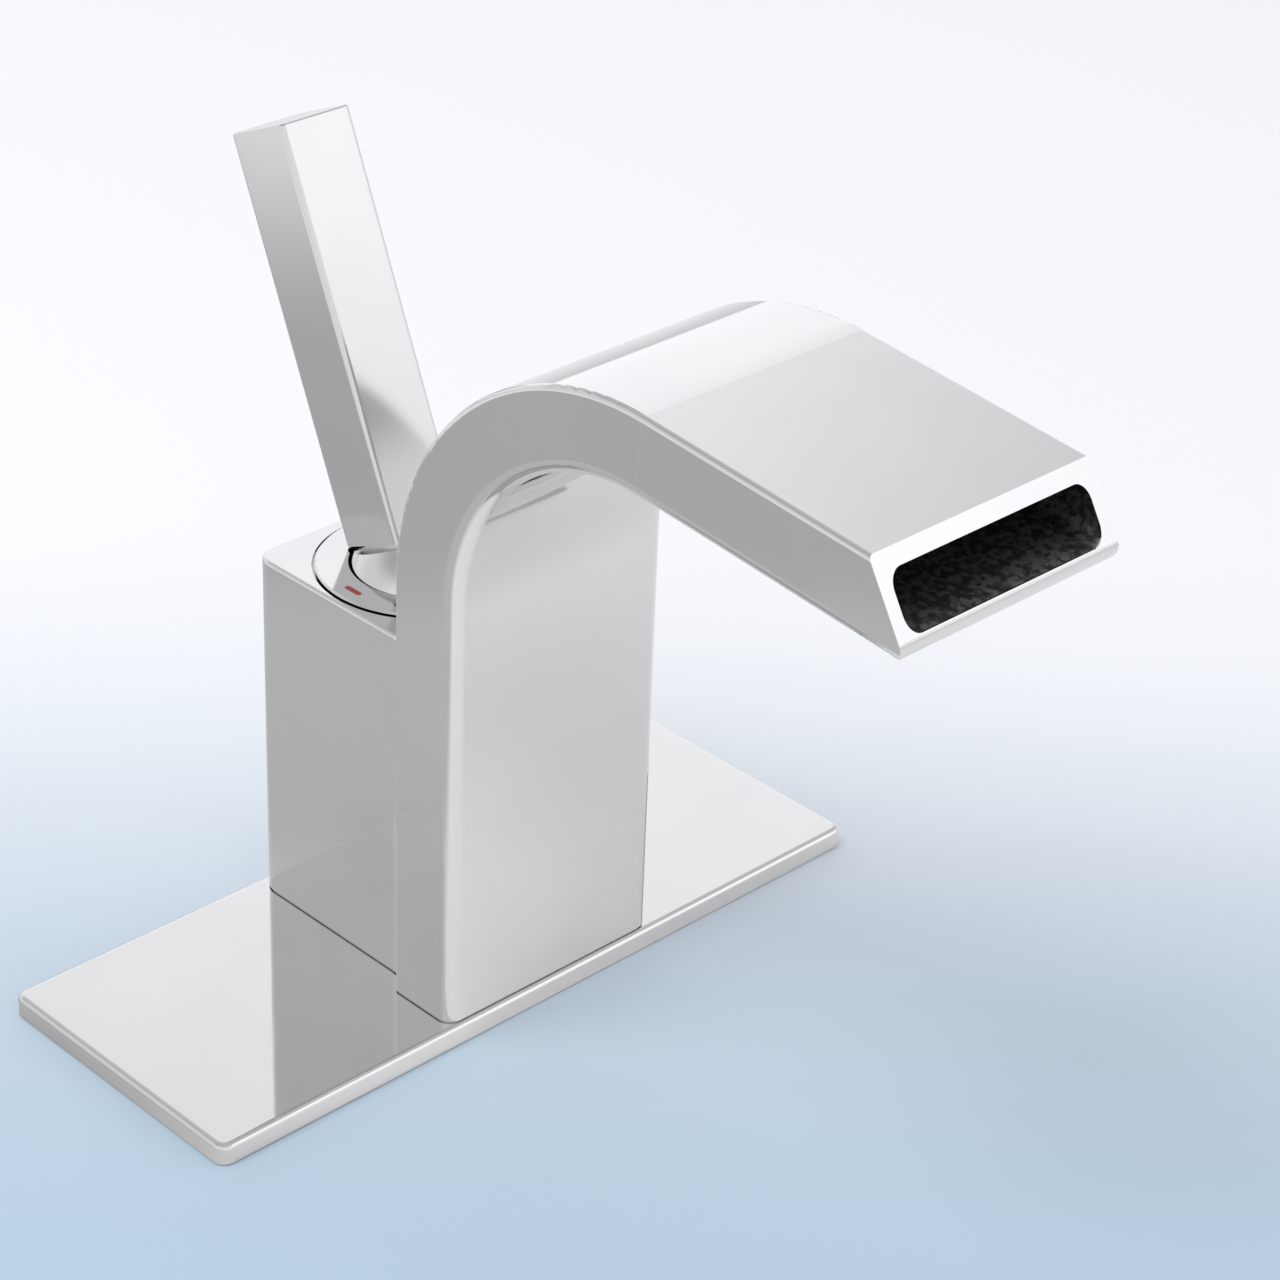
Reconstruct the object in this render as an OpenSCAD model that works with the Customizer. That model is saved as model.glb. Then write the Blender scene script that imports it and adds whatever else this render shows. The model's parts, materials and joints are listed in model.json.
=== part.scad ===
// Single-lever bathroom mixer faucet with a flat waterfall spout, a square lever and a cover plate.
// The origin is the centre of the deck hole on the deck surface, +Z is up and -Y is towards the basin.

/* [Cover plate] */
// Length of the cover plate, along X
plate_length = 160; // [120:1:200]
// Height of the cover plate above the deck
plate_height = 4.4; // [3.8:0.1:8]
// Radius of the plate's upright corners
plate_corner = 2.5; // [2:0.1:6]
// Radius of the round along the plate's top edges
plate_edge = 1.2; // [0.6:0.1:1.6]
// Margin of plate left in front of the spout and behind it
plate_margin = 1.15; // [1:0.05:4]

/* [Spout] */
// How far the spout stands out past the valve block on each side
spout_step = 3.8; // [2.8:0.1:6]
// Thickness of the spout's flat band
spout_thickness = 15.6; // [13:0.1:20]
// Wall left over and beside the waterway
spout_wall = 2.7; // [2.5:0.1:3.4]
// Radius of the spout's front and underside edges
spout_front_edge = 3; // [2:0.1:4.5]
// Radius of the spout's back and top edges
spout_back_edge = 1; // [0.6:0.1:2.6]
// Inner radius of the bend at the top of the spout
bend_radius = 39.6; // [32:0.2:52]
// Height of the bend's centre above the deck
bend_height = 92.2; // [76:0.2:112]
// Downward slope of the arm, in degrees
arm_slope = 5.2; // [2.5:0.1:6]
// Length of the arm's flat top, from the bend to the mouth
arm_length = 49; // [36:1:70]
// Slant of the mouth against the arm, in degrees
mouth_slant = 36; // [24:1:42]
// Radius of the mouth's lower lip
mouth_lip = 2.5; // [1.5:0.1:3]

/* [Valve block] */
// Height of the block's top above the deck
block_height = 77.8; // [64:0.2:96]
// Width of the block's top left around the trim ring
block_rim = 0.9; // [0.8:0.05:4]
// Distance of the valve's axis behind the centre of the deck hole
valve_offset = 6.5; // [5:0.1:8]
// Radius of the block's back upright corners
block_corner = 4.5; // [3:0.1:6]
// Radius of the round along the block's top edges
block_edge = 0.8; // [0.4:0.1:1]
// Radius of the hollow that blends the block into the spout
fairing_radius = 6; // [4:0.1:8]

/* [Cartridge] */
// Diameter of the ceramic disc cartridge
cartridge_diameter = 35; // [28:0.5:42]

/* [Handle] */
// Backward lean of the lever with the water fully on, in degrees
lever_lean = 23.8; // [18:0.1:26]
// Width of the square lever, along X
lever_width = 16; // [13:0.1:20]
// Depth of the square lever, front to back
lever_depth = 16; // [13:0.1:20]
// Length of the lever above its hub
lever_length = 79; // [64:1:100]
// Distance of the lever behind the axis of its stem
lever_setback = 1.1; // [0:0.1:1.6]
// Radius of the lever's edges
lever_edge = 0.5; // [0.3:0.1:1]
// Height of the trim ring above the block's top
ring_rise = 0.6; // [0.4:0.1:0.9]

/* [Fixings below the deck] */
// Thickness of the deck that the fixings are shown clamped to
deck_thickness = 20; // [12:1:30]
// Distance between the two studs, front to back
stud_spacing = 24; // [22:0.2:25]
// Diameter of the studs
stud_diameter = 6; // [5:0.5:7]
// Length of the studs below the deck surface
stud_length = 58; // [46:1:70]

/* [Hidden] */
$fn = 96;
cut = 0.5;              // overrun of a cutting shape past the face that it cuts
running_gap = 0.05;     // radial clearance of a turning fit
thread_gap = 0.05;      // radial clearance of a screwed fit
loose_gap = 0.3;        // clearance between pieces that must not rub
blend = 0.02;           // step or overlap where two rounds of one casting run into each other

// Valve: its inner sizes are stated for a 35 mm cartridge, and follow the cartridge's diameter
u = cartridge_diameter / 35;
bore_radius = cartridge_diameter / 2 + 0.15 * u;
housing_radius = cartridge_diameter / 2 - 0.1 * u;
thread_radius = 19 * u;
ring_radius = 20.6 * u;
pocket_radius = 21.1 * u;
pocket_depth = 2.5;
back_margin = 2.55;
front_margin = 0.05;
block_width = 2 * (pocket_radius + block_rim);
block_back = valve_offset + pocket_radius + back_margin;
pivot_drop = 7 * u;
pivot_z = block_height - pivot_drop;

// Heights of the cartridge's pieces below the pivot
seat_drop = 33.3 * u;
base_drop = 28.3 * u;
fixed_disc_drop = 24.3 * u;
moving_disc_drop = 20.3 * u;
carrier_drop = 13.3 * u;
yoke_floor = 13 * u;
yoke_drop = 10.2 * u;
ceiling_drop = 9.9 * u;
housing_drop = 8.3 * u;
nut_drop = 4.3 * u;
seat_z = pivot_z - seat_drop;
housing_top_z = pivot_z - housing_drop;

// Ports, measured from the valve's axis
port_radius = 3.2 * u;
inlet_port_x = 8 * u;
inlet_port_y = -5.4 * u;
outlet_port_y = -11 * u;
port_seal_radius = 4.6 * u;
port_seal_height = 1.5 * u;
inlet_y = valve_offset + inlet_port_y;
outlet_y = valve_offset + outlet_port_y;

// Moving pieces of the cartridge
ball_arm = 15.8 * u;
ball_radius = 3.2 * u;
ball_travel = ball_arm * sin(lever_lean);
carrier_y = -ball_travel / 2;
stem = 6 * u;
arm_depth = 4.5 * u;
arm_room = ceiling_drop * tan(lever_lean) + arm_depth / 2 / cos(lever_lean);
tower_radius = norm([stem / 2, arm_room]) + 0.5 * u;
tower_top = 2.6 * u;
tower_slot = 6.6 * u;
yoke_radius = 15.5 * u;
housing_inner = 15.9 * u;
disc_radius = housing_inner + carrier_y - 0.5 * u;
pin_radius = 1.25 * u;
pin_length = 14 * u;
rail_x = 9 * u;
rail_width = 2 * u;
rail_length = 16 * u;
rail_height = 1.4 * u;
rail_gap = 0.1 * u;
shoulder_drop = yoke_floor - 0.3 * u;

// Handle hub, a ball centred on the pivot and cut flat where the lever stands
hub_radius = 15.7 * u;
hub_gap = 0.5 * u;
hub_room = housing_drop - 0.4 * u;
hub_skirt = (hub_room - hub_radius * sin(lever_lean)) / cos(lever_lean);
hub_cavity = 12.6 * u;
hub_boss = 8.8 * u;
neck_height = 0.9 * u;
ring_top = pivot_drop + ring_rise;
lever_back = lever_depth / 2 + lever_setback;
lever_gap = 0.2;
lever_start = (ring_top + lever_gap + lever_back * sin(lever_lean)) / cos(lever_lean);
hub_flat = lever_start - neck_height;
neck_inset = 2;
neck_width = min(lever_width, lever_depth) - 2 * neck_inset;
socket_depth = 13 * u;
screw_rise = 7 * u;
screw_height = lever_start + screw_rise;
screw_radius = 2;
plug_radius = 2.4;
plug_depth = 1.2;
ring_flange = pivot_drop - pocket_depth;
ring_skirt = 4 * u;
ring_chamfer = 0.35;
mark_length = 4.2 * u;
mark_width = 1.2 * u;
mark_depth = 0.4;
mark_x = (ring_radius + sqrt(pow(hub_radius + hub_gap, 2) - pow(ring_top, 2))) / 2;

// Spout
spout_width = block_width + 2 * spout_step;
spout_back = valve_offset - pocket_radius - front_margin;
spout_front = spout_back - spout_thickness;
bend_y = spout_front - bend_radius;
bend_outer = bend_radius + spout_thickness;
bend_angle = 90 + arm_slope;
lip_back = mouth_lip / tan((90 - mouth_slant) / 2);
lip_land = 0.15;
spout_floor = lip_back * cos(mouth_slant) + lip_land;
waterway_edge = min(2.8, (spout_thickness - spout_floor - spout_wall) / 2 - lip_land);
crossover_radius = 4 * u;
crossover_drop = 7.5 * u;
crossover_z = seat_z - crossover_drop;
waterway_floor = crossover_z - 1.5 * crossover_radius;
lip_reach = arm_length + spout_thickness * tan(mouth_slant);
arm_blank = lip_reach + 4;
arm_overlap = 0.3;
waterway_inset = spout_wall + blend;
guide_wall = 0.8;
guide_length = 20;
guide_setback = 10;
guide_gap = 0.05;
guide_vanes = 3;

// Blend between the block's sides and the spout's back edges
fairing_x = block_width / 2 + fairing_radius - blend;
back_edge_x = spout_width / 2 - spout_back_edge;
back_edge_y = spout_back - spout_back_edge;
fairing_rise = sqrt(pow(fairing_radius + spout_back_edge - blend, 2) - pow(fairing_x - back_edge_x, 2));
fairing_y = back_edge_y + fairing_rise;
fairing_angle = atan2(fairing_rise, fairing_x - back_edge_x);

// Base and deck
plate_depth = 2 * (plate_margin - spout_front);
shadow_gap = 0.3;
shadow_depth = 0.4;
body_z = plate_height + shadow_gap;
spigot_radius = 16 * u;
plate_hole = spigot_radius + loose_gap;
gasket_inset = 4;
gasket_width = 4;
gasket_height = 2;
gasket_corner = 1;
seal_outer = spigot_radius + 3.8;
seal_inner = spigot_radius + 1.4;
seal_height = 1.2;
inlet_radius = 4.5;
inlet_depth = 14;
stud_radius = stud_diameter / 2;
stud_bite = 12;
clamp_radius = 26;
clamp_slot = 14.4;
clamp_slot_end = 7.6;
clamp_gasket_height = 3;
clamp_washer_height = 2.5;
clamp_margin = 1;
nut_flats_radius = 5.8;
nut_height = 6;
washer_z = -deck_thickness - clamp_gasket_height - clamp_washer_height;

// Shared shapes

// Rectangle with round corners, centred on the origin
module rounded_rectangle(width, depth, radius) {
    square([width - 2 * radius, depth], center = true);
    square([width, depth - 2 * radius], center = true);
    for (x = [-1, 1], y = [-1, 1])
        translate([x * (width / 2 - radius), y * (depth / 2 - radius)]) circle(radius);
}

// Quarter of a disc, in the first quadrant
module quarter_disc(radius) {
    intersection() {
        circle(radius);
        square(radius);
    }
}

// Bar with a quarter-disc section, lying along +X, round towards +Y and +Z
module edge_round(length, radius) {
    rotate([90, 0, 90]) linear_extrude(length) quarter_disc(radius);
}

// Turned corner piece that joins two edge rounds
module corner_round(corner, radius, angle) {
    rotate_extrude(angle = angle) translate([corner - radius, 0]) quarter_disc(radius);
}

// Block with upright round corners and a round along its top edges
module round_topped_block(width, depth, height, corner, edge) {
    linear_extrude(height - edge) rounded_rectangle(width, depth, corner);
    linear_extrude(height) rounded_rectangle(width - 2 * edge, depth - 2 * edge, corner - edge);
    translate([0, 0, height - edge]) {
        for (side = [0, 180]) {
            rotate(side) translate([corner - width / 2, depth / 2 - edge, 0])
                edge_round(width - 2 * corner, edge);
            rotate(side + 90) translate([corner - depth / 2, width / 2 - edge, 0])
                edge_round(depth - 2 * corner, edge);
        }
        for (side = [0, 180]) rotate(side) {
            translate([width / 2 - corner, depth / 2 - corner, 0]) corner_round(corner, edge, 90);
            translate([corner - width / 2, depth / 2 - corner, 0])
                rotate(90) corner_round(corner, edge, 90);
        }
    }
}

// Section of the spout's band: x is the thickness and y runs across.
// An inset of spout_wall or more makes the waterway, which has a thicker floor.
module band_section(inset) {
    inside = inset >= spout_wall;
    half = spout_width / 2 - inset;
    low = inside ? inset + spout_floor - spout_wall : inset;
    high = spout_thickness - inset;
    front = inside ? waterway_edge + spout_wall - inset : spout_front_edge - inset;
    back = inside ? front : spout_back_edge - inset;
    translate([low + front, -half]) square([high - low - front - back, 2 * half]);
    translate([low, front - half]) square([front, 2 * (half - front)]);
    translate([high - back, back - half]) square([back, 2 * (half - back)]);
    for (side = [-1, 1]) {
        translate([low + front, side * (half - front)]) circle(front);
        translate([high - back, side * (half - back)]) circle(back);
    }
}

// Frame of the bend: x outwards, y along the band, z across
module at_bend(angle) {
    translate([0, bend_y, bend_height]) rotate([90, 0, 90]) rotate(angle) children();
}

// Stretch of the band along the arm, from one distance past the bend to another
module arm_stretch(inset, start, end) {
    at_bend(bend_angle) translate([bend_radius, end, 0]) rotate([90, 0, 0])
        linear_extrude(end - start) band_section(inset);
}

// Side outline of the arm with its slanted mouth and round lower lip
module arm_outline() {
    polygon([
        [-cut, -2 * arm_overlap],
        [-cut, lip_reach - lip_back],
        [mouth_lip, lip_reach - lip_back],
        [lip_back * cos(mouth_slant), lip_reach - lip_back * sin(mouth_slant)],
        [spout_thickness + cut, arm_length - cut * tan(mouth_slant)],
        [spout_thickness + cut, -2 * arm_overlap]
    ]);
    translate([mouth_lip, lip_reach - lip_back]) circle(mouth_lip + blend);
}

module column(inset, foot) {
    translate([0, spout_front, foot]) rotate(90) linear_extrude(bend_height - foot) band_section(inset);
}

module bend(inset) {
    reach = bend_outer + cut;
    intersection() {
        at_bend(0) rotate_extrude() translate([bend_radius, 0]) band_section(inset);
        at_bend(0) translate([-reach, 0, -reach]) cube([2 * reach, reach, 2 * reach]);
        at_bend(bend_angle) translate([-reach, -reach, -reach]) cube([2 * reach, reach, 2 * reach]);
    }
}

module arm() {
    intersection() {
        arm_stretch(blend, -arm_overlap, arm_blank);
        at_bend(bend_angle) translate([bend_radius, 0, -spout_width / 2 - cut])
            linear_extrude(spout_width + 2 * cut) arm_outline();
    }
}

// Outline of the valve block behind the spout, drawn in by inset
module block_outline(inset) {
    half = block_width / 2 - inset;
    corner = block_corner - inset;
    length = block_back - spout_back + cut;
    translate([-half, spout_back - cut]) square([2 * half, length - block_corner]);
    translate([corner - half, spout_back - cut]) square([2 * (half - corner), length - inset]);
    for (side = [-1, 1])
        translate([side * (half - corner), block_back - block_corner]) circle(corner);
    for (side = [0, 1]) mirror([side, 0]) difference() {
        polygon([
            [block_width / 2 - block_corner, fairing_y],
            [fairing_x, fairing_y],
            [back_edge_x, back_edge_y],
            [block_width / 2 - block_corner, back_edge_y]
        ]);
        translate([fairing_x, fairing_y]) circle(fairing_radius + inset);
    }
}

// Block with a round along its top edges, from the shadow gap to the block's top
module valve_block() {
    side_length = block_back - block_corner - back_edge_y;
    top = block_height - block_edge;
    translate([0, 0, body_z]) linear_extrude(top - body_z) block_outline(0);
    translate([0, 0, body_z]) linear_extrude(block_height - body_z) block_outline(block_edge);
    translate([block_corner - block_width / 2, block_back - block_edge, top])
        edge_round(block_width - 2 * block_corner, block_edge);
    for (side = [0, 1]) mirror([side, 0, 0]) {
        translate([block_width / 2 - block_corner, block_back - block_corner, top])
            corner_round(block_corner, block_edge, 90);
        translate([block_width / 2 - block_edge, back_edge_y + side_length, top]) rotate(-90)
            edge_round(side_length, block_edge);
        translate([fairing_x, fairing_y, top]) rotate(180) rotate_extrude(angle = fairing_angle)
            translate([fairing_radius + block_edge, 0]) mirror([1, 0]) quarter_disc(block_edge);
    }
}

// Frames of the moving pieces
module at_pivot() {
    translate([0, valve_offset, pivot_z]) children();
}

module at_lever() {
    at_pivot() rotate([-lever_lean, 0, 0]) children();
}

// Pipe standing on z = 0
module pipe(outer, inner, height) {
    difference() {
        cylinder(r = outer, h = height);
        translate([0, 0, -cut]) cylinder(r = inner, h = height + 2 * cut);
    }
}

// The three ports, as drills from z = start upwards
module port_drills(radius, start, height) {
    for (x = [-1, 1]) translate([x * inlet_port_x, inlet_port_y, start]) cylinder(r = radius, h = height);
    translate([0, outlet_port_y, start]) cylinder(r = radius, h = height);
}

// Body

// Foot on the plate, drawn in to leave a fine shadow gap round the body
module body_foot() {
    translate([0, 0, plate_height]) linear_extrude(shadow_gap + cut) {
        translate([0, spout_front]) rotate(90) band_section(shadow_depth);
        block_outline(shadow_depth);
    }
}

module body_casting() {
    color("silver") difference() {
        union() {
            column(0, body_z);
            bend(0);
            arm();
            valve_block();
            body_foot();
            cylinder(r = spigot_radius, h = body_z + cut);
        }
        column(spout_wall, waterway_floor);
        bend(spout_wall);
        arm_stretch(waterway_inset, -arm_overlap, arm_blank);
        // cartridge bore, screwed bore and the ring's pocket
        translate([0, valve_offset, seat_z]) cylinder(r = bore_radius, h = block_height);
        translate([0, valve_offset, housing_top_z]) cylinder(r = thread_radius, h = block_height);
        translate([0, valve_offset, block_height - pocket_depth])
            cylinder(r = pocket_radius, h = pocket_depth + cut);
        // supply passages and the inlets' threaded holes
        for (x = [-1, 1]) translate([x * inlet_port_x, inlet_y, 0]) {
            translate([0, 0, inlet_depth - cut])
                cylinder(r = port_radius, h = seat_z - inlet_depth + 2 * cut);
            translate([0, 0, -cut]) cylinder(r = inlet_radius, h = inlet_depth + cut);
        }
        // outlet passage, down from the seat and forward into the waterway
        translate([0, outlet_y, crossover_z]) cylinder(r = port_radius, h = seat_z - crossover_z + cut);
        translate([0, outlet_y, crossover_z]) rotate([90, 0, 0])
            cylinder(r = crossover_radius, h = outlet_y - spout_back + spout_wall + 2 * cut);
        // stud holes and the seal's groove
        for (y = [-1, 1]) translate([0, y * stud_spacing / 2, -cut])
            cylinder(r = stud_radius + thread_gap, h = stud_bite + cut);
        translate([0, 0, plate_height]) pipe_groove(seal_outer, seal_inner, seal_height);
    }
}

// Ring-shaped groove, open downwards
module pipe_groove(outer, inner, height) {
    difference() {
        translate([0, 0, -cut]) cylinder(r = outer, h = height + cut);
        translate([0, 0, -2 * cut]) cylinder(r = inner, h = height + 3 * cut);
    }
}

module flow_guide() {
    start = arm_length - guide_length - guide_setback;
    guide_inset = waterway_inset + guide_gap;
    guide_floor = guide_inset + spout_floor - spout_wall;
    vane_height = spout_thickness - guide_floor - guide_inset - guide_wall;
    pitch = (spout_width - 2 * guide_inset) / (guide_vanes + 1);
    color("dimgray") {
        difference() {
            arm_stretch(guide_inset, start, start + guide_length);
            arm_stretch(guide_inset + guide_wall, start - cut, start + guide_length + cut);
        }
        at_bend(bend_angle) for (i = [1 : guide_vanes])
            translate([bend_radius + guide_floor + guide_wall / 2, start,
                       (i - (guide_vanes + 1) / 2) * pitch - guide_wall / 2])
                cube([vane_height, guide_length, guide_wall]);
    }
}

// Deck plate and seals

module deck_plate() {
    color("gainsboro") difference() {
        union() {
            translate([0, 0, shadow_gap])
                round_topped_block(plate_length, plate_depth, plate_height - shadow_gap,
                                   plate_corner, plate_edge);
            linear_extrude(shadow_gap + cut)
                rounded_rectangle(plate_length - 2 * shadow_depth, plate_depth - 2 * shadow_depth,
                                  plate_corner - shadow_depth);
        }
        translate([0, 0, -cut]) cylinder(r = plate_hole, h = plate_height + 2 * cut);
        translate([0, 0, -cut]) linear_extrude(gasket_height + cut) gasket_outline();
    }
}

module gasket_outline() {
    width = plate_length - 2 * gasket_inset;
    depth = plate_depth - 2 * gasket_inset;
    difference() {
        rounded_rectangle(width, depth, gasket_width + gasket_corner);
        rounded_rectangle(width - 2 * gasket_width, depth - 2 * gasket_width, gasket_corner);
    }
}

module deck_plate_gasket() {
    color("dimgray") linear_extrude(gasket_height) gasket_outline();
}

module base_seal() {
    color("dimgray") translate([0, 0, plate_height]) pipe(seal_outer, seal_inner, seal_height);
}

// Cartridge

module cartridge_base() {
    color("whitesmoke") at_pivot() translate([0, 0, -seat_drop]) difference() {
        cylinder(r = housing_radius, h = seat_drop - base_drop);
        port_drills(port_radius, -cut, seat_drop);
        port_drills(port_seal_radius, -cut, port_seal_height + cut);
    }
}

module port_seal(x, y) {
    color("black") at_pivot() translate([x, y, -seat_drop])
        pipe(port_seal_radius, port_radius, port_seal_height);
}

module port_seal_hot() {
    port_seal(-inlet_port_x, inlet_port_y);
}

module port_seal_cold() {
    port_seal(inlet_port_x, inlet_port_y);
}

module port_seal_outlet() {
    port_seal(0, outlet_port_y);
}

module fixed_disc() {
    color("ivory") at_pivot() translate([0, 0, -base_drop]) difference() {
        cylinder(r = housing_inner - loose_gap, h = base_drop - fixed_disc_drop);
        port_drills(port_radius, -cut, seat_drop);
    }
}

module cartridge_housing() {
    color("white") at_pivot() difference() {
        translate([0, 0, -base_drop]) cylinder(r = housing_radius, h = base_drop - housing_drop);
        translate([0, 0, -base_drop - cut]) cylinder(r = housing_inner, h = base_drop - ceiling_drop + cut);
        translate([0, 0, -ceiling_drop - cut])
            cylinder(r = tower_radius + running_gap, h = ceiling_drop - housing_drop + 2 * cut);
    }
}

module glide_ring() {
    thickness = (yoke_drop - ceiling_drop) * 2 / 3;
    margin = 1 * u;
    color("gold") at_pivot() translate([0, 0, -ceiling_drop - thickness])
        pipe(yoke_radius - margin, tower_radius + margin, thickness);
}

module cartridge_nut() {
    height = housing_drop - nut_drop;
    inner = hub_radius + 0.9 * u;
    notch = 3 * u;
    color("goldenrod") at_pivot() translate([0, 0, -housing_drop]) difference() {
        pipe(thread_radius - thread_gap, inner, height);
        for (turn = [0 : 90 : 270]) rotate(turn + 45)
            translate([hub_radius, -notch / 2, height / 2]) cube([2 * notch, notch, height]);
    }
}

module trim_ring() {
    color("silver") at_pivot() difference() {
        rotate_extrude() polygon([
            [0, -ring_skirt],
            [thread_radius - thread_gap, -ring_skirt],
            [thread_radius - thread_gap, ring_flange],
            [ring_radius, ring_flange],
            [ring_radius, ring_top - ring_chamfer],
            [ring_radius - ring_chamfer, ring_top],
            [0, ring_top]
        ]);
        sphere(r = hub_radius + hub_gap);
        translate([0, 0, -ring_skirt - cut]) cylinder(r = hub_radius + hub_gap, h = ring_skirt + cut);
        for (side = [-1, 1]) translate([side * mark_x, 0, ring_top - mark_depth])
            linear_extrude(mark_depth + cut) mark_outline();
    }
}

module mark_outline() {
    length = mark_length - mark_width;
    translate([-mark_width / 2, -length / 2]) square([mark_width, length]);
    for (end = [-1, 1]) translate([0, end * length / 2]) circle(mark_width / 2);
}

module temperature_mark(side) {
    at_pivot() translate([side * mark_x, 0, ring_top - mark_depth]) linear_extrude(mark_depth) mark_outline();
}

module hot_mark() {
    color("firebrick") temperature_mark(-1);
}

module cold_mark() {
    color("royalblue") temperature_mark(1);
}

// Turning and sliding pieces of the cartridge

module mixing_yoke() {
    slot_back = 3.4 * u;
    slot_front = ball_travel + ball_radius + loose_gap;
    color("darkgray") at_pivot() difference() {
        union() {
            translate([0, 0, -yoke_floor]) cylinder(r = yoke_radius, h = yoke_floor - yoke_drop);
            translate([0, 0, -yoke_drop - cut]) cylinder(r = tower_radius, h = yoke_drop + cut + tower_top);
            for (side = [-1, 1])
                translate([side * rail_x - rail_width / 2, -rail_length / 2, -yoke_floor - rail_height])
                    cube([rail_width, rail_length, rail_height + cut]);
        }
        translate([-tower_slot / 2, -slot_front, -carrier_drop - cut])
            cube([tower_slot, slot_front + slot_back, carrier_drop + tower_top + 2 * cut]);
        translate([-tower_slot / 2, -tower_radius - cut, -housing_drop + loose_gap])
            cube([tower_slot, 2 * (tower_radius + cut), housing_drop + tower_top]);
        rotate([0, 90, 0]) cylinder(r = pin_radius + running_gap, h = 4 * tower_radius, center = true);
    }
}

module moving_disc() {
    chamber_radius = 8.5 * u;
    chamber_height = 2 * u;
    face_gap = 0.05;
    color("ivory") at_pivot() translate([0, carrier_y, -fixed_disc_drop + face_gap]) difference() {
        cylinder(r = disc_radius, h = fixed_disc_drop - moving_disc_drop - face_gap);
        translate([0, 0, -cut]) cylinder(r = chamber_radius, h = chamber_height + cut);
    }
}

module disc_carrier() {
    pocket_floor = 1 * u;
    color("lightgray") at_pivot() translate([0, carrier_y, -moving_disc_drop]) difference() {
        cylinder(r = disc_radius, h = moving_disc_drop - carrier_drop);
        translate([0, -ball_travel - carrier_y, pocket_floor])
            cylinder(r = ball_radius + loose_gap, h = moving_disc_drop);
        for (side = [-1, 1])
            translate([side * rail_x - rail_width / 2 - rail_gap, -2 * disc_radius,
                       moving_disc_drop - yoke_floor - rail_height - rail_gap])
                cube([rail_width + 2 * rail_gap, 4 * disc_radius, rail_height + 2 * cut]);
    }
}

module spindle() {
    overlap = 3 * u;
    color("lightslategray") at_lever() difference() {
        union() {
            translate([-stem / 2, -stem / 2, -overlap])
                cube([stem, stem, lever_start + socket_depth + overlap]);
            translate([-stem / 2, -arm_depth / 2, -shoulder_drop]) cube([stem, arm_depth, shoulder_drop]);
            translate([0, 0, -ball_arm]) cylinder(r = arm_depth / 2, h = ball_arm);
            translate([0, 0, -ball_arm]) sphere(r = ball_radius);
        }
        rotate([0, 90, 0]) cylinder(r = pin_radius, h = 2 * stem, center = true);
    }
}

module pivot_pin() {
    color("gray") at_pivot() rotate([0, 90, 0]) cylinder(r = pin_radius, h = pin_length, center = true);
}

// Handle

module lever_hub() {
    color("silver") at_lever() difference() {
        intersection() {
            sphere(r = hub_radius);
            translate([0, 0, -hub_skirt]) cylinder(r = 2 * hub_radius, h = hub_skirt + hub_flat);
        }
        intersection() {
            sphere(r = hub_cavity);
            translate([0, 0, -2 * hub_radius]) cylinder(r = 2 * hub_radius, h = 2 * hub_radius + hub_boss);
        }
        translate([-stem / 2, -stem / 2, 0]) cube([stem, stem, 2 * hub_radius]);
    }
}

module lever_bar() {
    color("silver") at_lever() difference() {
        union() {
            translate([0, lever_setback, lever_start])
                round_topped_block(lever_width, lever_depth, lever_length, 2 * lever_edge, lever_edge);
            translate([-neck_width / 2, lever_setback - neck_width / 2, hub_flat])
                cube([neck_width, neck_width, neck_height + cut]);
        }
        translate([-stem / 2, -stem / 2, 0]) cube([stem, stem, lever_start + socket_depth]);
        translate([0, 0, screw_height]) rotate([-90, 0, 0]) {
            cylinder(r = screw_radius, h = lever_depth);
            translate([0, 0, lever_back - plug_depth]) cylinder(r = plug_radius, h = lever_depth);
        }
    }
}

module lever_set_screw() {
    key_radius = 1.1;
    length = lever_back - stem / 2 - plug_depth;
    color("dimgray") at_lever() translate([0, stem / 2, screw_height]) rotate([-90, 0, 0]) difference() {
        cylinder(r = screw_radius, h = length);
        translate([0, 0, length / 2]) cylinder(r = key_radius, h = length, $fn = 6);
    }
}

module set_screw_plug() {
    color("silver") at_lever() translate([0, lever_back - plug_depth, screw_height]) rotate([-90, 0, 0])
        cylinder(r = plug_radius, h = plug_depth);
}

// Fixings below the deck

module stud(side) {
    color("goldenrod") translate([0, side * stud_spacing / 2, -stud_length])
        cylinder(r = stud_radius, h = stud_length + stud_bite);
}

module stud_front() {
    stud(-1);
}

module stud_back() {
    stud(1);
}

// Flat ring with a slot for the supply hoses, open towards +X
module horseshoe(radius, height) {
    difference() {
        cylinder(r = radius, h = height);
        translate([0, 0, -cut]) {
            translate([-clamp_slot_end, -clamp_slot / 2, 0]) cube([2 * radius, clamp_slot, height + 2 * cut]);
            translate([-clamp_slot_end, 0, 0]) cylinder(r = clamp_slot / 2, h = height + 2 * cut);
            for (side = [-1, 1]) translate([0, side * stud_spacing / 2, 0])
                cylinder(r = stud_radius + loose_gap, h = height + 2 * cut);
        }
    }
}

module horseshoe_gasket() {
    color("black") translate([0, 0, washer_z + clamp_washer_height])
        horseshoe(clamp_radius, clamp_gasket_height);
}

module horseshoe_washer() {
    color("lightsteelblue") translate([0, 0, washer_z])
        horseshoe(clamp_radius - clamp_margin, clamp_washer_height);
}

module stud_nut(side) {
    color("goldenrod") translate([0, side * stud_spacing / 2, washer_z - nut_height]) difference() {
        cylinder(r = nut_flats_radius, h = nut_height, $fn = 6);
        translate([0, 0, -cut]) cylinder(r = stud_radius + thread_gap, h = nut_height + 2 * cut);
    }
}

module stud_nut_front() {
    stud_nut(-1);
}

module stud_nut_back() {
    stud_nut(1);
}

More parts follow.
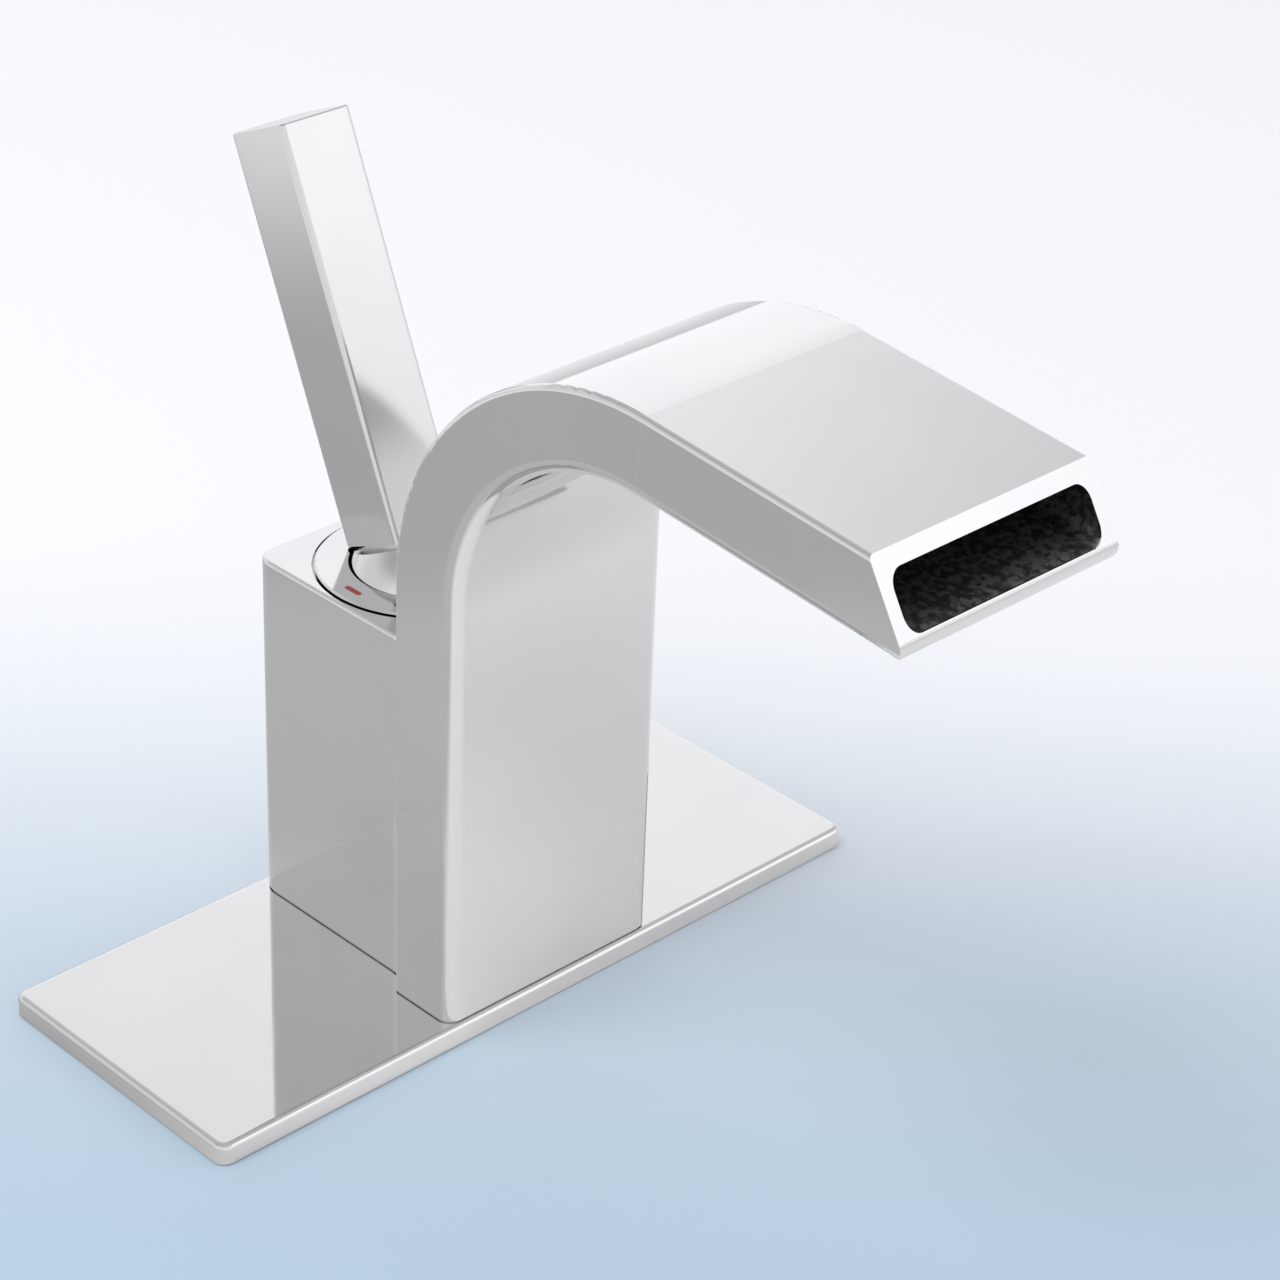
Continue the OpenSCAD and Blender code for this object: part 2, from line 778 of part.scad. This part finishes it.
deck_plate();
deck_plate_gasket();
base_seal();
body_casting();
flow_guide();
cartridge_base();
port_seal_hot();
port_seal_cold();
port_seal_outlet();
fixed_disc();
cartridge_housing();
glide_ring();
cartridge_nut();
trim_ring();
hot_mark();
cold_mark();
mixing_yoke();
moving_disc();
disc_carrier();
spindle();
pivot_pin();
lever_hub();
lever_bar();
lever_set_screw();
set_screw_plug();
stud_front();
stud_back();
horseshoe_gasket();
horseshoe_washer();
stud_nut_front();
stud_nut_back();
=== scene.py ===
import json
import math

import bpy
from mathutils import Matrix, Vector

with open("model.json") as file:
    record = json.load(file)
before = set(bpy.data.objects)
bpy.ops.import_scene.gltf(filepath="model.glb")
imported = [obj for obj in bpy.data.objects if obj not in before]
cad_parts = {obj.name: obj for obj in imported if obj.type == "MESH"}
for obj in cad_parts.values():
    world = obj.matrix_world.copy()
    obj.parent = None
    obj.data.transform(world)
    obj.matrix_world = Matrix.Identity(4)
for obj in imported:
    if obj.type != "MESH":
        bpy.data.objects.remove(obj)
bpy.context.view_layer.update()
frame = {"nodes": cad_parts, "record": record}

NODES = frame["nodes"]
RECORD = frame["record"]

# ---------------------------------------------------------------- camera
# Lengths are in metres.
CAMERA_TARGET = Vector((0.0, -0.040, 0.080))
CAMERA_AZIMUTH = math.radians(-44.37)
CAMERA_ELEVATION = math.radians(30.06)
CAMERA_ROLL = math.radians(1.89)
CAMERA_DISTANCE = 0.6356
# Lens and sensor are in millimetres, the shift is a share of the sensor.
CAMERA_LENS = 100.76
CAMERA_SENSOR = 36.0
CAMERA_SHIFT = (0.0331, 0.0068)
CLIP_START = 0.01
CLIP_END = 50.0


def make_camera():
    """Camera at the photograph's angle, aimed from azimuth, elevation and roll."""
    sin_a, cos_a = math.sin(CAMERA_AZIMUTH), math.cos(CAMERA_AZIMUTH)
    sin_e, cos_e = math.sin(CAMERA_ELEVATION), math.cos(CAMERA_ELEVATION)
    back = Vector((sin_a * cos_e, -cos_a * cos_e, sin_e))
    right = Vector((cos_a, sin_a, 0.0))
    up = back.cross(right)
    right_rolled = right * math.cos(CAMERA_ROLL) + up * math.sin(CAMERA_ROLL)
    up_rolled = up * math.cos(CAMERA_ROLL) - right * math.sin(CAMERA_ROLL)
    data = bpy.data.cameras.new("camera")
    data.sensor_width = CAMERA_SENSOR
    data.lens = CAMERA_LENS
    data.shift_x, data.shift_y = CAMERA_SHIFT
    data.clip_start = CLIP_START
    data.clip_end = CLIP_END
    camera = bpy.data.objects.new("camera", data)
    bpy.context.scene.collection.objects.link(camera)
    turn = Matrix((right_rolled, up_rolled, back)).transposed().to_4x4()
    camera.matrix_world = Matrix.Translation(CAMERA_TARGET + back * CAMERA_DISTANCE) @ turn
    bpy.context.scene.camera = camera


make_camera()
bpy.context.scene.view_settings.view_transform = "Standard"
bpy.context.scene.view_settings.look = "None"

# ---------------------------------------------------------------- node helpers
# The Mix node has a set of sockets for each data type, and these are the colour ones.
MIX_FACTOR, MIX_A, MIX_B, MIX_RESULT = 0, 6, 7, 2


class Graph:
    """Small helper that adds and joins shader nodes."""

    def __init__(self, tree):
        self.tree = tree
        tree.nodes.clear()

    def add(self, kind, inputs=None, **settings):
        """New node with its settings, and each input set to a value or joined to a socket."""
        node = self.tree.nodes.new(kind)
        for key, value in settings.items():
            setattr(node, key, value)
        for key, value in (inputs or {}).items():
            self.feed(node.inputs[key], value)
        return node

    def feed(self, socket, value):
        if isinstance(value, bpy.types.NodeSocket):
            self.tree.links.new(value, socket)
        else:
            socket.default_value = value

    def math(self, operation, *values):
        return self.add("ShaderNodeMath", dict(enumerate(values)), operation=operation).outputs[0]

    def dot(self, a, b):
        return self.add("ShaderNodeVectorMath", {0: a, 1: b}, operation="DOT_PRODUCT").outputs["Value"]

    def split(self, vector):
        """The X, Y and Z of a vector, as a node's outputs."""
        return self.add("ShaderNodeSeparateXYZ", {"Vector": vector}).outputs

    def place(self):
        """Position in the object's own frame."""
        return self.add("ShaderNodeTexCoord").outputs["Object"]

    def smooth(self, value, low, high, out_low=0.0, out_high=1.0):
        """Smooth step from `out_low` at `low` to `out_high` at `high`."""
        node = self.add(
            "ShaderNodeMapRange",
            {"Value": value, "From Min": low, "From Max": high, "To Min": out_low, "To Max": out_high},
            interpolation_type="SMOOTHSTEP",
        )
        return node.outputs["Result"]

    def mix(self, factor, a, b):
        node = self.add("ShaderNodeMix", {MIX_FACTOR: factor}, data_type="RGBA")
        self.feed(node.inputs[MIX_A], a)
        self.feed(node.inputs[MIX_B], b)
        return node.outputs[MIX_RESULT]

    def noise(self, scale, detail, stretch=(1.0, 1.0, 1.0)):
        """Noise in the object's frame: `scale` cells a metre, `stretch` under 1 draws them out."""
        mapped = self.add("ShaderNodeMapping", {"Vector": self.place(), "Scale": stretch})
        node = self.add(
            "ShaderNodeTexNoise",
            {"Vector": mapped.outputs[0], "Scale": scale, "Detail": detail},
        )
        return node.outputs["Fac"]

    def bump(self, height, distance):
        return self.add("ShaderNodeBump", {"Height": height, "Distance": distance})


def grey(value):
    return (value, value, value, 1.0)


# ---------------------------------------------------------------- studio
# The tent is at full brightness up to the first of these heights (the sine of the elevation) and
# at its top brightness above the second.
TENT_FADE = (0.42, 0.85)
TENT_LEVEL = 1.0
TENT_TOP_LEVEL = 0.62
TENT_TINT = (0.985, 0.985, 1.02)
# Bright banks and, with a gain below 0, dim ones: the aim, the half angles in degrees within which
# a bank is full and beyond which it is gone, and the gain.
TENT_BANKS = (
    ((0.62, 0.66, 0.22), 12.0, 42.0, 0.22),
    ((0.55, -0.80, 0.20), 12.0, 34.0, 0.12),
    ((0.60, -0.66, 0.45), 10.0, 18.0, 0.26),
    ((0.86, 0.24, 0.46), 8.0, 24.0, -0.38),
    ((-0.60, 0.62, 0.50), 10.0, 40.0, -0.16),
)


def make_world():
    """Soft studio surroundings: a pale tent, dimmer overhead, with bright and dim banks round it."""
    world = bpy.data.worlds.new("studio")
    bpy.context.scene.world = world
    world.use_nodes = True
    g = Graph(world.node_tree)
    direction = g.add("ShaderNodeTexCoord").outputs["Generated"]
    level = g.smooth(g.split(direction)["Z"], *TENT_FADE, TENT_LEVEL, TENT_TOP_LEVEL)
    for aim, inner, outer, gain in TENT_BANKS:
        closeness = g.dot(direction, Vector(aim).normalized())
        bank = g.smooth(closeness, math.cos(math.radians(outer)), math.cos(math.radians(inner)))
        level = g.math("ADD", level, g.math("MULTIPLY", bank, gain))
    channels = {index: g.math("MULTIPLY", level, share) for index, share in enumerate(TENT_TINT)}
    colour = g.add("ShaderNodeCombineColor", channels).outputs[0]
    background = g.add("ShaderNodeBackground", {"Color": colour})
    output = g.add("ShaderNodeOutputWorld")
    g.feed(output.inputs["Surface"], background.outputs[0])


make_world()

DECK_HOLE_RADIUS = 0.0175
FLOOR_RADIUS = 6.0
FLOOR_SIDES = 64
# The deck's colours, by distance away from the camera's side.
FLOOR_NEAR_COLOUR = (0.50, 0.64, 0.76, 1)
FLOOR_FAR_COLOUR = (0.97, 0.98, 0.99, 1)
FLOOR_FADE = (-0.16, 0.24)
# Painted reflection: brightness of the deck in the chrome only, set apart from its seen colour.
# From left to right it goes bright, dark (painted shade), middling and bright, and far away it
# has one value. Each fade is where one value turns into the next.
MIRRORED_LEFT, MIRRORED_PAINTED_SHADE, MIRRORED_MIDDLE, MIRRORED_RIGHT = 0.92, 0.49, 0.58, 0.96
MIRRORED_FAR = 0.92
FADE_LEFT_TO_DARK = (-0.62, -0.38)
FADE_DARK_TO_MIDDLE = (-0.28, -0.20)
FADE_MIDDLE_TO_RIGHT = (-0.10, 0.0)
FADE_TO_FAR = (0.20, 0.60)


def floor_shader(g):
    """Matt deck. Its tone in reflections is painted reflection and shade, set apart from the tone that
    the camera sees.
    """
    place = g.split(g.place())
    across = g.math("SUBTRACT", place["X"], place["Y"])
    away = g.math("ADD", place["X"], place["Y"])
    seen = g.mix(g.smooth(away, *FLOOR_FADE), FLOOR_NEAR_COLOUR, FLOOR_FAR_COLOUR)
    dark = g.smooth(across, *FADE_LEFT_TO_DARK, MIRRORED_LEFT, MIRRORED_PAINTED_SHADE)
    middle = g.smooth(across, *FADE_DARK_TO_MIDDLE, dark, MIRRORED_MIDDLE)
    right = g.mix(g.smooth(across, *FADE_MIDDLE_TO_RIGHT), middle, grey(MIRRORED_RIGHT))
    painted_reflection = g.mix(g.smooth(away, *FADE_TO_FAR), right, grey(MIRRORED_FAR))
    # Camera rays see the deck's own colour; every other ray sees the painted reflection and shade.
    straight = g.add("ShaderNodeLightPath").outputs["Is Camera Ray"]
    return g.add("ShaderNodeBsdfDiffuse", {"Color": g.mix(straight, painted_reflection, seen)})


def make_floor():
    """Pale round deck with the faucet's 35 mm hole in it."""
    angles = [2 * math.pi * side / FLOOR_SIDES for side in range(FLOOR_SIDES)]
    verts = [
        (radius * math.cos(angle), radius * math.sin(angle), 0.0)
        for radius in (DECK_HOLE_RADIUS, FLOOR_RADIUS)
        for angle in angles
    ]
    faces = []
    for side in range(FLOOR_SIDES):
        after = (side + 1) % FLOOR_SIDES
        faces.append((side, side + FLOOR_SIDES, after + FLOOR_SIDES, after))
    mesh = bpy.data.meshes.new("floor")
    mesh.from_pydata(verts, [], faces)
    mesh.update()
    floor = bpy.data.objects.new("floor", mesh)
    bpy.context.scene.collection.objects.link(floor)
    material = bpy.data.materials.new("floor")
    material.use_nodes = True
    g = Graph(material.node_tree)
    shader = floor_shader(g)
    output = g.add("ShaderNodeOutputMaterial")
    g.feed(output.inputs["Surface"], shader.outputs[0])
    mesh.materials.append(material)


make_floor()

KEY_PLACE = Vector((-0.9, 0.2, 1.6))
KEY_SIZE = 1.2
KEY_POWER = 11.0


def make_key_light():
    """Soft light aimed at the origin, left out of the reflections in the chrome."""
    data = bpy.data.lights.new("key", "AREA")
    data.shape = "DISK"
    data.size = KEY_SIZE
    data.energy = KEY_POWER
    light = bpy.data.objects.new("key", data)
    bpy.context.scene.collection.objects.link(light)
    light.location = KEY_PLACE
    light.rotation_euler = (-KEY_PLACE).to_track_quat("-Z", "Y").to_euler()
    light.visible_glossy = False


make_key_light()


# ---------------------------------------------------------------- materials
def new_material(name):
    material = bpy.data.materials.new(name)
    material.use_nodes = True
    g = Graph(material.node_tree)
    shader = g.add("ShaderNodeBsdfPrincipled")
    output = g.add("ShaderNodeOutputMaterial")
    g.feed(output.inputs["Surface"], shader.outputs[0])
    return material, g, shader


WATERWAY_HALF_HEIGHT = 0.0047
WATERWAY_HALF_WIDTH = 0.0234
WATERWAY_REACH = 0.045
# Lean of the mouth's face from square to the flow, and how far the plating turns in over its rim.
MOUTH_SLANT = math.radians(36.0)
MOUTH_RIM = 0.0003


def waterway_cast_and_shade_mask(g):
    """1 on the walls of the waterway in the arm, placed from the water outlet's mount. There the chrome
    is rough casting with a dark tone of painted shade.
    """
    outlet = next(mount for mount in RECORD["mounts"] if mount["name"] == "water_outlet")
    from_outlet = {0: g.place(), 1: Vector(outlet["pos_m"])}
    offset = g.add("ShaderNodeVectorMath", from_outlet, operation="SUBTRACT").outputs[0]
    flow = Vector(outlet["axis"])
    level = g.dot(offset, flow.cross(Vector((1.0, 0.0, 0.0))))
    past = g.dot(offset, flow)
    sideways = g.split(offset)["X"]
    past_face = g.math("ADD", past, g.math("MULTIPLY", level, math.tan(MOUTH_SLANT)))
    mask = g.math("LESS_THAN", g.math("ABSOLUTE", level), WATERWAY_HALF_HEIGHT)
    for limit in (
        g.math("LESS_THAN", g.math("ABSOLUTE", sideways), WATERWAY_HALF_WIDTH),
        g.math("LESS_THAN", past_face, -MOUTH_RIM),
        g.math("GREATER_THAN", past, -WATERWAY_REACH),
    ):
        mask = g.math("MULTIPLY", mask, limit)
    return mask


# Noise scales are in cells a metre, depths in metres.
SMUDGE_SCALE, SMUDGE_DETAIL = 45.0, 4.0
SMUDGE_TINT = (0.975, 0.978, 0.98)
SMUDGE_TINT_FADE = (0.35, 0.75)
SMUDGE_GLOSS_FADE = (0.40, 0.80)
CLEAN_ROUGHNESS, SMUDGED_ROUGHNESS = 0.030, 0.060
HAIRLINE_SCALE, HAIRLINE_DETAIL = 900.0, 2.0
HAIRLINE_STRETCH = (1.0, 1.0, 0.04)
HAIRLINE_ROUGHNESS = 0.015
HAIRLINE_DEPTH = 0.0000006
WAVE_SCALE, WAVE_DETAIL = 38.0, 1.0
WAVE_DEPTH = 0.00004
CAST_SCALE, CAST_DETAIL = 700.0, 4.0
CAST_FADE = (0.40, 0.62)
# Waterway wall tones: dull casting, darkened with painted shade inside the hole.
CAST_AND_SHADE_DARK, CAST_AND_SHADE_LIGHT = 0.10, 0.34
CAST_ROUGHNESS = 0.42
CHROME_TINT = (0.735, 0.733, 0.728)
ZINC_TINT = (0.70, 0.698, 0.693)


def chrome(name, tint=CHROME_TINT, satin=0.0, cast_and_shade_inside=False):
    """Mirror-polished plating: faint waviness, hairline polishing marks and smudges in its gloss.

    `satin` adds to the roughness, and the waterway flag leaves the waterway's walls as rough casting,
    with a dark tone that is painted shade in the hole.
    """
    material, g, shader = new_material(name)
    smudge = g.noise(SMUDGE_SCALE, SMUDGE_DETAIL)
    hairline = g.noise(HAIRLINE_SCALE, HAIRLINE_DETAIL, HAIRLINE_STRETCH)
    smudged = [clean * share for clean, share in zip(tint, SMUDGE_TINT)]
    base = g.mix(g.smooth(smudge, *SMUDGE_TINT_FADE), (*tint, 1), (*smudged, 1))
    rough = g.smooth(smudge, *SMUDGE_GLOSS_FADE, CLEAN_ROUGHNESS, SMUDGED_ROUGHNESS)
    rough = g.math("ADD", rough, g.math("MULTIPLY", hairline, HAIRLINE_ROUGHNESS))
    rough = g.math("ADD", rough, satin)
    if cast_and_shade_inside:
        # Inside the waterway: rough casting, its dark tone painted shade in the hole.
        inside = waterway_cast_and_shade_mask(g)
        scale = g.smooth(g.noise(CAST_SCALE, CAST_DETAIL), *CAST_FADE)
        base = g.mix(inside, base, g.mix(scale, grey(CAST_AND_SHADE_DARK), grey(CAST_AND_SHADE_LIGHT)))
        rough = g.math("MAXIMUM", rough, g.math("MULTIPLY", inside, CAST_ROUGHNESS))
    wave = g.bump(g.noise(WAVE_SCALE, WAVE_DETAIL), WAVE_DEPTH)
    marks = g.bump(hairline, HAIRLINE_DEPTH)
    g.feed(marks.inputs["Normal"], wave.outputs["Normal"])
    g.feed(shader.inputs["Base Color"], base)
    g.feed(shader.inputs["Metallic"], 1.0)
    g.feed(shader.inputs["Roughness"], rough)
    g.feed(shader.inputs["Normal"], marks.outputs["Normal"])
    return material


MOTTLE_SCALE, MOTTLE_DETAIL = 80.0, 3.0
MOTTLE_FADE = (0.3, 0.7)
GRAIN_DETAIL = 2.0
GRAIN_FADE = (0.2, 0.8)
GRAIN_ROUGHNESS = 0.06
DRAWN = (1.0, 1.0, 0.1)


def plain(
    name, colour, rough, metallic=0.0, grain=1500.0, depth=0.00001, stretch=(1.0, 1.0, 1.0), tone=0.85
):
    """Matt or satin stuff with a mottled tone, a grain in its gloss and a fine bump.

    `grain` is the grain's noise scale, `depth` its relief and `tone` the mottle's darkest share.
    """
    material, g, shader = new_material(name)
    mottle = g.smooth(g.noise(MOTTLE_SCALE, MOTTLE_DETAIL), *MOTTLE_FADE)
    fine = g.noise(grain, GRAIN_DETAIL, stretch)
    darker = [channel * tone for channel in colour]
    gloss = g.smooth(fine, *GRAIN_FADE, rough - GRAIN_ROUGHNESS, rough + GRAIN_ROUGHNESS)
    g.feed(shader.inputs["Base Color"], g.mix(mottle, (*colour, 1), (*darker, 1)))
    g.feed(shader.inputs["Metallic"], metallic)
    g.feed(shader.inputs["Roughness"], gloss)
    g.feed(shader.inputs["Normal"], g.bump(fine, depth).outputs["Normal"])
    return material


MATERIALS = {
    "polished_chrome": chrome("polished_chrome"),
    "chromed_brass": chrome("chromed_brass", satin=0.02, cast_and_shade_inside=True),
    "chromed_zinc": chrome("chromed_zinc", tint=ZINC_TINT, satin=0.09),
    "bare_brass": plain(
        "bare_brass", (0.78, 0.60, 0.28), 0.28, metallic=1.0, grain=900.0, depth=0.000004, stretch=DRAWN
    ),
    "steel": plain(
        "steel", (0.62, 0.63, 0.65), 0.30, metallic=1.0, grain=900.0, depth=0.000003, stretch=DRAWN
    ),
    "seal_rubber": plain("seal_rubber", (0.025, 0.025, 0.025), 0.62, grain=1200.0),
    "dark_plastic": plain("dark_plastic", (0.030, 0.030, 0.033), 0.38, grain=1200.0),
    "cartridge_plastic": plain(
        "cartridge_plastic", (0.80, 0.80, 0.77), 0.42, grain=900.0, depth=0.000006
    ),
    "disc_ceramic": plain("disc_ceramic", (0.86, 0.84, 0.78), 0.20, depth=0.000002, tone=0.95),
    "hot_enamel": plain("hot_enamel", (0.33, 0.030, 0.030), 0.22, depth=0.000002),
    "cold_enamel": plain("cold_enamel", (0.030, 0.070, 0.30), 0.22, depth=0.000002),
}

for part in RECORD["subparts"]:
    node = NODES[part["node"]]
    node.data.materials.clear()
    node.data.materials.append(MATERIALS[part["material_slot"]])
